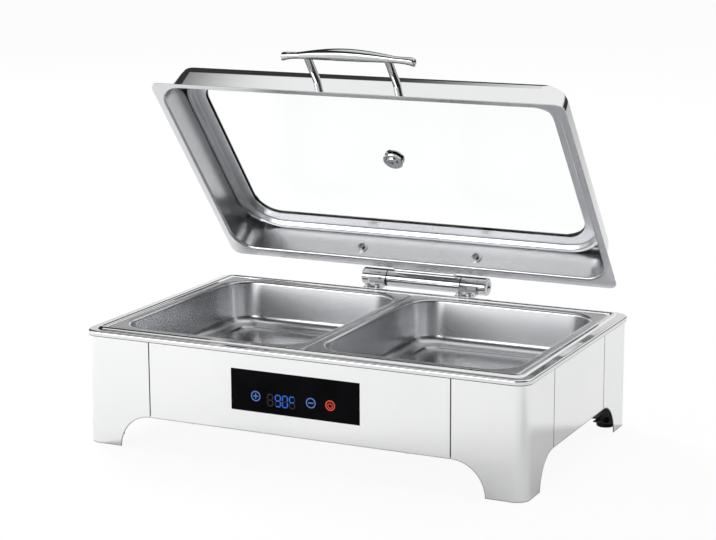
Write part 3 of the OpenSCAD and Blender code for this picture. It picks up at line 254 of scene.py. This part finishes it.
def make_inner_frame():
    """Stepped frame that holds the window's glass from inside."""
    gap, flat, slope, drop, lip, bend_r = 1.5, 14.5, 4.0, 4.5, 4.4, 1.5
    base = (WINDOW_W + 2 * gap, WINDOW_D + 2 * gap, WINDOW_R + gap, DOME_Y, 0.0)
    low = GLASS_LOW - SHEET_T
    path = [(0.0, low), (flat, low), (flat + slope, low - drop), (flat + slope + lip, low - drop)]
    seen, back = sheet_sides(base, LID_Z, path, [0, bend_r, bend_r, 0])
    return loft("inner_frame_visual", seen + back[::-1], lid=True)


def make_bar():
    """Grip bar: full in the middle, thin, then flared, with the tips bent down."""
    stations, around, crowd = 96, 40, 1.35
    bar_r, neck, flare, flatness = 8.0, 0.44, 0.28, 0.9
    neck_at, flare_at, tip_at, tip_least = 0.85, 0.72, 0.975, 0.08
    belly_power, droop, droop_power = 1.2, 5.5, 8
    turns = [2 * math.pi * k / around for k in range(around)]
    loops = []
    for i in range(stations + 1):
        t = 2.0 * i / stations - 1.0
        t = math.copysign(1 - (1 - abs(t)) ** crowd, t)
        s = abs(t)
        belly = max(0.0, math.cos(math.radians(90 * min(1.0, s / neck_at)))) ** belly_power
        full = bar_r * (neck + (1 - neck) * belly + flare * max(0.0, (s - flare_at) / (1 - flare_at)))
        r = full
        if s > tip_at:
            r *= math.sqrt(max(tip_least, 1 - ((s - tip_at) / (1 - tip_at)) ** 2))
        y = BAR_Y + droop * s ** droop_power - full
        z = LID_Z + POST_Z
        loops.append([(t * BAR_LEN / 2, y + r * math.cos(a), z + flatness * r * math.sin(a)) for a in turns])
    return loft("handle_visual", loops, closed=False, lid=True)


def ring_plate(r, width, cx, cz, gap=0.0):
    """Flat ring as quads in x and z, open at the top over a gap in degrees."""
    steps = 48
    a0, a1 = math.radians(90 + gap / 2), math.radians(450 - gap / 2)
    pts = []
    for k in range(steps + 1):
        a = a0 + (a1 - a0) * k / steps
        pts.append([(cx + q * math.cos(a), cz + q * math.sin(a)) for q in (r, r - width)])
    return [(pts[k][0], pts[k + 1][0], pts[k + 1][1], pts[k][1]) for k in range(steps)]


def bar_plate(cx, cz, w, h):
    return [(cx + sx * w / 2, cz + sz * h / 2) for sx, sz in ((-1, -1), (1, -1), (1, 1), (-1, 1))]


def digit(cx, strokes):
    """Strokes of a seven-segment figure, named a to g as usual, with pointed ends."""
    w, h, t, joint = DIGIT_W, DIGIT_H, DIGIT_LINE / 2, 0.35
    middles = {"a": (0, h / 2), "b": (w / 2, h / 4), "c": (w / 2, -h / 4), "d": (0, -h / 2),
               "e": (-w / 2, -h / 4), "f": (-w / 2, h / 4), "g": (0, 0)}
    out = []
    for stroke in strokes:
        x, z = middles[stroke]
        flat = stroke in "adg"
        end = (w if flat else h / 2) / 2 - joint
        lying = [(-end, 0), (t - end, -t), (end - t, -t), (end, 0), (end - t, t), (t - end, t)]
        shape = lying if flat else [(-b, a) for a, b in lying]
        out.append([(cx + x + a, DIGIT_Z + z + b) for a, b in shape])
    return out


def make_icon(name, plates):
    """Thin shapes on the face of the touch panel."""
    proud, sunk = 0.06, 0.02
    verts, faces = [], []
    for poly in plates:
        n, first = len(poly), len(verts)
        verts += [(x, TOUCH_Y - proud, z) for x, z in poly] + [(x, TOUCH_Y + sunk, z) for x, z in poly]
        faces += [tuple(range(first, first + n)), tuple(range(first + 2 * n - 1, first + n - 1, -1))]
        faces += [(first + k, first + n + k, first + n + (k + 1) % n, first + (k + 1) % n) for k in range(n)]
    return finish_mesh(name, verts, faces)


# Nodes
def put(tree, value, socket):
    """Sets a socket to a number, or links another socket to it."""
    if isinstance(value, float):
        socket.default_value = value
    else:
        tree.links.new(value, socket)


def combine(tree, operation, a, b):
    node = tree.nodes.new("ShaderNodeMath")
    node.operation = operation
    put(tree, a, node.inputs[0])
    put(tree, b, node.inputs[1])
    return node.outputs["Value"]


def times(tree, a, b):
    return combine(tree, "MULTIPLY", a, b)


def map_range(tree, kind, value, *ends):
    """Maps a value from between the first two ends to between the last two."""
    node = tree.nodes.new("ShaderNodeMapRange")
    node.interpolation_type = kind
    for key, number in zip(("From Min", "From Max", "To Min", "To Max"), ends):
        node.inputs[key].default_value = number
    tree.links.new(value, node.inputs["Value"])
    return node.outputs["Result"]


def spread(tree, value, low, high):
    """Stretches the usual range of a noise over two numbers."""
    return map_range(tree, "LINEAR", value, 0.3, 0.7, low, high)


def step(tree, value, low, high, first, last):
    return map_range(tree, "SMOOTHSTEP", value, low, high, first, last)


def noise(tree, scale, stretch=(1, 1, 1)):
    coord = tree.nodes.new("ShaderNodeTexCoord")
    mapping = tree.nodes.new("ShaderNodeMapping")
    mapping.inputs["Scale"].default_value = stretch
    tex = tree.nodes.new("ShaderNodeTexNoise")
    tex.inputs["Scale"].default_value = scale
    tex.inputs["Detail"].default_value = 4.0
    tree.links.new(coord.outputs["Object"], mapping.inputs["Vector"])
    tree.links.new(mapping.outputs["Vector"], tex.inputs["Vector"])
    return tex.outputs["Fac"]


def tint(tree, fac, dark, light):
    """Colour between dark and light, by a noise."""
    mix = tree.nodes.new("ShaderNodeMix")
    mix.data_type = "RGBA"
    mix.inputs["A"].default_value = (*dark, 1)
    mix.inputs["B"].default_value = (*light, 1)
    tree.links.new(spread(tree, fac, 0, 1), mix.inputs["Factor"])
    return mix.outputs["Result"]


def parts_of(tree, vector):
    node = tree.nodes.new("ShaderNodeSeparateXYZ")
    tree.links.new(vector, node.inputs["Vector"])
    return node.outputs


def bumpy(tree, bsdf, value, strength):
    node = tree.nodes.new("ShaderNodeBump")
    node.inputs["Strength"].default_value = strength
    node.inputs["Distance"].default_value = 0.2 * MM
    tree.links.new(value, node.inputs["Height"])
    tree.links.new(node.outputs["Normal"], bsdf.inputs["Normal"])


# Materials, kept by the names given here, because Blender renames one whose name is taken
MATS = {}


def material(name):
    mat = bpy.data.materials.new(name)
    mat.use_nodes = True
    MATS[name] = mat
    tree = mat.node_tree
    return tree, tree.nodes["Principled BSDF"]


def metal(name, dark, light, rough, scale, stretch=(1, 1, 1), bump=0.0):
    tree, bsdf = material(name)
    fac = noise(tree, scale, stretch)
    bsdf.inputs["Metallic"].default_value = 1.0
    tree.links.new(tint(tree, fac, dark, light), bsdf.inputs["Base Color"])
    tree.links.new(spread(tree, noise(tree, scale * 0.4, stretch), *rough), bsdf.inputs["Roughness"])
    if bump:
        bumpy(tree, bsdf, fac, bump)
    return tree, bsdf


def leg_painted_shade(tree, position, facing):
    """Share of painted shade on legs and panels, dark and dull: full inside, part of it along the arches and
    lower edges.
    """
    place = tree.nodes.new("ShaderNodeVectorMath")
    place.operation = "ADD"
    place.inputs[1].default_value = (0, -BASE_Y * MM, 0)
    tree.links.new(position, place.inputs[0])
    at = parts_of(tree, place.outputs["Vector"])
    outward = combine(tree, "ADD", times(tree, at["X"], facing["X"]), times(tree, at["Y"], facing["Y"]))
    # Painted shade inside the legs and panels, on faces turned to the middle
    inside = combine(tree, "LESS_THAN", outward, 0.0)
    from_end = [combine(tree, "SUBTRACT", size / 2 * MM, combine(tree, "ABSOLUTE", at[axis], 0.0))
                for size, axis in ((BODY_W, "X"), (BODY_D, "Y"))]
    from_corner = combine(tree, "MINIMUM", combine(tree, "MAXIMUM", *from_end), LEG_WING * MM)
    span = combine(tree, "SUBTRACT", LEG_WING * MM, from_corner)
    squares = combine(tree, "ADD", times(tree, span, span), times(tree, at["Z"], at["Z"]))
    from_arch = combine(tree, "SUBTRACT", combine(tree, "SQRT", squares, 0.0), ARCH_R * MM)
    from_floor = combine(tree, "SUBTRACT", at["Z"], LEG_Z * MM)
    # Painted shade along the arches and lower edges
    edge = step(tree, combine(tree, "MINIMUM", from_arch, from_floor), 0.4 * MM, 1.6 * MM, 0.6, 0.0)
    return combine(tree, "MAXIMUM", inside, edge)


def sheet_metal(name, dark, light, rough, shade_legs):
    """Polished sheet with painted shade: dark and dull where it faces down and, on legs and panels, inside
    and along the cut edges.
    """
    tree, bsdf = metal(name, dark, light, rough, 9.0)
    coord = tree.nodes.new("ShaderNodeTexCoord")
    facing = parts_of(tree, coord.outputs["Normal"])
    # Painted shade: dark where the surface faces down, such as under the rim's edge
    painted_shade = step(tree, facing["Z"], -0.45, -0.15, 1.0, 0.0)
    if shade_legs:
        painted_shade = combine(tree, "MAXIMUM", painted_shade, leg_painted_shade(tree, coord.outputs["Object"], facing))
    # Where the painted shade is set, the colour turns dark grey and the roughness dull
    # The mix node's sockets for colours and for numbers: first, second, result
    for key, shade_and_dull, kind, sockets in (("Base Color", (0.12, 0.12, 0.125, 1), "RGBA", (6, 7, 2)),
                                     ("Roughness", 0.5, "FLOAT", (2, 3, 0))):
        mix = tree.nodes.new("ShaderNodeMix")
        mix.data_type = kind
        tree.links.new(painted_shade, mix.inputs[0])
        tree.links.new(bsdf.inputs[key].links[0].from_socket, mix.inputs[sockets[0]])
        mix.inputs[sockets[1]].default_value = shade_and_dull
        tree.links.new(mix.outputs[sockets[2]], bsdf.inputs[key])


def dielectric(name, dark, light, rough, scale, bump=0.0, shine=0.5):
    tree, bsdf = material(name)
    bsdf.inputs["Specular IOR Level"].default_value = shine
    fac = noise(tree, scale)
    tree.links.new(tint(tree, fac, dark, light), bsdf.inputs["Base Color"])
    tree.links.new(spread(tree, noise(tree, scale * 0.5), *rough), bsdf.inputs["Roughness"])
    if bump:
        bumpy(tree, bsdf, fac, bump)


def glass(name):
    tree, bsdf = material(name)
    bsdf.inputs["Transmission Weight"].default_value = 1.0
    bsdf.inputs["IOR"].default_value = 1.2
    bsdf.inputs["Base Color"].default_value = (0.985, 0.995, 0.992, 1)
    tree.links.new(spread(tree, noise(tree, 12.0), 0.0, 0.008), bsdf.inputs["Roughness"])


def glow(name, colour):
    tree, bsdf = material(name)
    bsdf.inputs["Base Color"].default_value = (*[c * 0.2 for c in colour], 1)
    bsdf.inputs["Specular IOR Level"].default_value = 0.1
    bsdf.inputs["Emission Color"].default_value = (*colour, 1)
    tree.links.new(spread(tree, noise(tree, 300.0), 0.85, 1.0), bsdf.inputs["Emission Strength"])


# Name, darkest and lightest colour, range of roughness, scale of the grain
metal("polished_steel", (0.80, 0.805, 0.81), (0.84, 0.842, 0.845), (0.04, 0.07), 9.0)
# Both sheets carry painted shade: the rim where it faces down, legs and panels also inside and along the
# arches and lower edges
sheet_metal("polished_sheet_painted_shade", (0.88, 0.885, 0.89), (0.91, 0.912, 0.915), (0.04, 0.07), shade_legs=True)
sheet_metal("polished_rim_painted_shade", (0.76, 0.765, 0.77), (0.80, 0.802, 0.805), (0.04, 0.07), shade_legs=False)
metal("satin_steel", (0.62, 0.625, 0.64), (0.68, 0.685, 0.70), (0.24, 0.30), 7.0)
metal("galvanised_sheet", (0.42, 0.43, 0.44), (0.58, 0.59, 0.60), (0.35, 0.5), 45.0)
metal("plated_hardware", (0.58, 0.59, 0.60), (0.68, 0.69, 0.70), (0.16, 0.26), 200.0)
metal("chrome_hardware", (0.53, 0.54, 0.55), (0.58, 0.585, 0.59), (0.04, 0.08), 60.0)
metal("shaft_steel", (0.55, 0.56, 0.57), (0.65, 0.66, 0.67), (0.2, 0.3), 150.0, stretch=(0.1, 1, 1))
metal("aluminium", (0.66, 0.67, 0.68), (0.76, 0.77, 0.78), (0.4, 0.55), 70.0, bump=0.15)
metal("element_sheath", (0.16, 0.15, 0.15), (0.34, 0.31, 0.29), (0.4, 0.6), 40.0)
metal("screw_steel", (0.26, 0.265, 0.27), (0.38, 0.385, 0.39), (0.18, 0.3), 200.0)
metal("sensor_metal", (0.5, 0.5, 0.48), (0.62, 0.62, 0.6), (0.3, 0.4), 150.0)
dielectric("touch_glass", (0.002, 0.002, 0.0025), (0.004, 0.004, 0.005), (0.05, 0.08), 30.0, shine=0.02)
glass("clear_glass")
dielectric("black_plastic", (0.012, 0.012, 0.013), (0.03, 0.03, 0.033), (0.42, 0.6), 400.0, bump=0.2)
dielectric("circuit_board", (0.02, 0.10, 0.05), (0.05, 0.19, 0.09), (0.3, 0.45), 120.0)
dielectric("rubber", (0.012, 0.012, 0.012), (0.035, 0.035, 0.034), (0.6, 0.8), 300.0, bump=0.3)
glow("light_blue", (0.09, 0.18, 0.46))
glow("figure_blue", (0.03, 0.12, 0.52))
# Unlit figures glow faintly grey: painted light, though they are off
glow("figure_off_painted_glow", (0.022, 0.022, 0.026))
glow("light_red", (0.58, 0.07, 0.035))
# The bar under the pans' meeting rims takes the dark sheath steel as painted shade in the gap between the
# pans; the leaf screws take darker screw steel
OTHER_LOOK_AND_SHADE = {"pan_support_bar": "element_sheath", "leaf_screws": "screw_steel"}
for part in frame["record"]["subparts"]:
    name, slot = part["node"], part["material_slot"]
    # Legs and panels take the sheet with painted shade
    if name.startswith("leg_") or name.endswith("_panel") and slot == "polished_steel":
        slot = "polished_sheet_painted_shade"
    materials = nodes[name].data.materials
    materials.clear()
    materials.append(MATS[OTHER_LOOK_AND_SHADE.get(name, slot)])


# Finer meshes in the place of solids
def wear(obj, body, slot, *replaced):
    obj.data.materials.append(MATS[slot])
    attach(obj, body)
    if replaced:
        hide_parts(*replaced)
    return obj


wear(make_pan("pan_left_visual", -ZONE_W / 4), "base", "satin_steel", "food_pan_left")
wear(make_pan("pan_right_visual", ZONE_W / 4), "base", "satin_steel", "food_pan_right")
rim_visual = wear(make_top_frame(), "base", "polished_steel", "top_frame")
rim_visual.data.materials[0] = MATS["polished_rim_painted_shade"]
lid_visual = wear(make_lid_shell(), "lid", "polished_steel", "lid_shell")
lid_visual.data.materials.append(MATS["satin_steel"])
wear(make_inner_frame(), "lid", "satin_steel", "lid_inner_frame")
wear(make_bar(), "lid", "chrome_hardware", "handle_bar")


# Lit signs of the touch panel
def wear_icon(name, plates, look):
    obj = make_icon(name, plates)
    obj.data.materials.append(MATS[look])
    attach(obj, "base")


def sign_ring(cx, line=SIGN_LINE):
    return ring_plate(SIGN_R, line, cx, SIGN_Z)


ARM, STUB, STUB_AT = 6.6, 2.6, 2.1
MINUS_LINE, POWER_LINE = 1.5, 1.5
SWITCH_R, SWITCH_LINE, SWITCH_GAP, SWITCH_DROP = 3.4, 1.1, 70.0, 0.3
SWITCH_BAR, SWITCH_BAR_AT = 3.0, 2.0
plus = [bar_plate(PLUS_X, SIGN_Z, ARM, SIGN_LINE)]
plus += [bar_plate(PLUS_X, SIGN_Z + way * STUB_AT, SIGN_LINE, STUB) for way in (1, -1)]
minus = [bar_plate(MINUS_X, SIGN_Z, ARM, MINUS_LINE)]
power = ring_plate(SWITCH_R, SWITCH_LINE, POWER_X, SIGN_Z - SWITCH_DROP, SWITCH_GAP)
power += [bar_plate(POWER_X, SIGN_Z + SWITCH_BAR_AT, SWITCH_LINE, SWITCH_BAR)]
wear_icon("sign_plus", sign_ring(PLUS_X) + plus, "light_blue")
wear_icon("sign_minus", sign_ring(MINUS_X) + minus, "light_blue")
wear_icon("sign_power", sign_ring(POWER_X, POWER_LINE) + power, "light_red")
LIT_STROKES = ("", "abcdfg", "abcdef", "afg")
for name, look, lit in (("figures_lit", "figure_blue", True), ("figures_off", "figure_off_painted_glow", False)):
    plates = []
    for x, on in zip(DIGIT_X, LIT_STROKES):
        plates += digit(x, [stroke for stroke in "abcdefg" if (stroke in on) == lit])
    wear_icon(name, plates, look)


# Floor, lamps and room, in metres
def looked_at(tree, paths):
    """1 for camera rays, also through glass, that no metal has mirrored."""
    direct = combine(tree, "LESS_THAN", paths["Glossy Depth"], 0.5)
    return times(tree, direct, combine(tree, "MAXIMUM", paths["Is Camera Ray"], paths["Is Transmission Ray"]))


def mixed(tree, share, first, second):
    node = tree.nodes.new("ShaderNodeMixShader")
    tree.links.new(share, node.inputs["Fac"])
    tree.links.new(first, node.inputs[1])
    tree.links.new(second, node.inputs[2])
    return node.outputs["Shader"]


def glowing(tree, strength, grey):
    """Emission with a diffuse share, which keeps the shadow."""
    pale = tree.nodes.new("ShaderNodeEmission")
    put(tree, strength, pale.inputs["Strength"])
    faint = tree.nodes.new("ShaderNodeBsdfDiffuse")
    faint.inputs["Color"].default_value = (grey, grey, grey, 1)
    both = tree.nodes.new("ShaderNodeAddShader")
    tree.links.new(pale.outputs["Emission"], both.inputs[0])
    tree.links.new(faint.outputs["BSDF"], both.inputs[1])
    return both.outputs["Shader"]


def floor_look():
    """Pale floor: white where it is looked at, lit by the lamps where metal mirrors it."""
    tree, bsdf = material("floor")
    bsdf.inputs["Roughness"].default_value = 0.7
    bsdf.inputs["Specular IOR Level"].default_value = 0.1
    tree.links.new(tint(tree, noise(tree, 3.0), (0.92,) * 3, (0.94,) * 3), bsdf.inputs["Base Color"])
    at = parts_of(tree, tree.nodes.new("ShaderNodeTexCoord").outputs["Object"])
    less_behind = step(tree, at["Y"], 0.5, 1.6, 0.06, 0.03)
    paths = tree.nodes.new("ShaderNodeLightPath").outputs
    mirrored = combine(tree, "GREATER_THAN", paths["Glossy Depth"], 0.5)
    plain = mixed(tree, looked_at(tree, paths), bsdf.outputs["BSDF"], glowing(tree, 0.93, 0.07))
    surface = mixed(tree, mirrored, plain, glowing(tree, less_behind, 0.85))
    tree.links.new(surface, tree.nodes["Material Output"].inputs["Surface"])


def make_floor():
    reach = 12
    floor_look()
    mesh = bpy.data.meshes.new("floor")
    corners = [(-reach, -reach, 0), (reach, -reach, 0), (reach, reach, 0), (-reach, reach, 0)]
    mesh.from_pydata(corners, [], [(0, 1, 2, 3)])
    mesh.materials.append(MATS["floor"])
    obj = bpy.data.objects.new("floor", mesh)
    bpy.context.scene.collection.objects.link(obj)


def area_light(name, place, target, size, power):
    data = bpy.data.lights.new(name, "AREA")
    data.shape = "RECTANGLE"
    data.size, data.size_y = size
    data.energy = power
    obj = bpy.data.objects.new(name, data)
    obj.location = place
    obj.rotation_euler = (Vector(target) - Vector(place)).to_track_quat("-Z", "Y").to_euler()
    bpy.context.scene.collection.objects.link(obj)
    return obj


def background(tree):
    return tree.nodes.new("ShaderNodeBackground")


def make_room():
    """Room with a white ceiling and horizon, dark walls between them and a dark right side."""
    world = bpy.data.worlds.new("studio")
    bpy.context.scene.world = world
    world.use_nodes = True
    tree = world.node_tree
    tree.nodes.clear()
    out = tree.nodes.new("ShaderNodeOutputWorld")
    white, room = background(tree), background(tree)
    white.inputs["Color"].default_value = (1, 1, 1, 1)
    toward = parts_of(tree, tree.nodes.new("ShaderNodeTexCoord").outputs["Generated"])

    def at_back(front_value, back_value):
        return step(tree, toward["Y"], -0.1, 0.1, front_value, back_value)

    over_horizon = combine(tree, "SUBTRACT", toward["Z"], at_back(0.34, 0.18))
    walls = times(tree, step(tree, over_horizon, 0.0, 0.14, 0, 1), step(tree, toward["Z"], 0.805, 0.85, 1, 0))
    doorway = times(tree, at_back(0, 1), step(tree, toward["X"], -0.30, -0.15, 0, 1))
    walls = times(tree, walls, step(tree, doorway, 0, 1, 1, 0))
    over_side = combine(tree, "SUBTRACT", toward["Z"], at_back(0.50, 0.14))
    side = times(tree, step(tree, toward["X"], -0.15, 0.12, 0, 1), step(tree, over_side, 0.0, 0.2, 1, 0))
    dark = combine(tree, "MAXIMUM", walls, side)
    tree.links.new(step(tree, dark, 0, 1, 1.0, 0.04), room.inputs["Color"])
    paths = tree.nodes.new("ShaderNodeLightPath").outputs
    surface = mixed(tree, looked_at(tree, paths), room.outputs["Background"], white.outputs["Background"])
    tree.links.new(surface, out.inputs["Surface"])


make_floor()
# The key stands behind on the left, so that the dish's own shadow falls to the front right
key = area_light("key", (-2.4, 1.8, 2.6), (0.1, -0.3, 0.0), (1.3, 1.3), 98.0)
key.visible_glossy = False
key.visible_transmission = False
area_light("fill", (-2.2, -1.2, 1.2), (0, 0, 0.15), (1.4, 1.0), 5.0)
area_light("front", (-1.0, -2.6, 0.75), (0, 0, 0.12), (2.6, 1.1), 26.0)
make_room()

# Camera at the photograph's place: angles, place in metres, width and focal length of the photo in pixels
YAW, PITCH, ROLL = math.radians(25.712), math.radians(11.998), math.radians(-0.236)
CAMERA_AT = (1.02075, -2.14157, 0.70551)
PHOTO_W, PHOTO_FOCAL, SENSOR_W = 716.0, 1993.95, 36.0


def make_camera():
    ahead = Vector((-math.sin(YAW) * math.cos(PITCH), math.cos(YAW) * math.cos(PITCH), -math.sin(PITCH)))
    level = Vector((math.cos(YAW), math.sin(YAW), 0))
    upright = level.cross(ahead)
    right = math.cos(ROLL) * level + math.sin(ROLL) * upright
    up = -math.sin(ROLL) * level + math.cos(ROLL) * upright
    data = bpy.data.cameras.new("camera")
    data.sensor_fit = "HORIZONTAL"
    data.sensor_width = SENSOR_W
    data.lens = SENSOR_W * PHOTO_FOCAL / PHOTO_W
    data.clip_start, data.clip_end = 0.05, 100.0
    cam = bpy.data.objects.new("camera", data)
    cam.matrix_world = Matrix.Translation(CAMERA_AT) @ Matrix((right, up, -ahead)).transposed().to_4x4()
    bpy.context.scene.collection.objects.link(cam)
    bpy.context.scene.camera = cam


make_camera()
bpy.context.scene.view_settings.view_transform = "Standard"

bpy.context.view_layer.update()
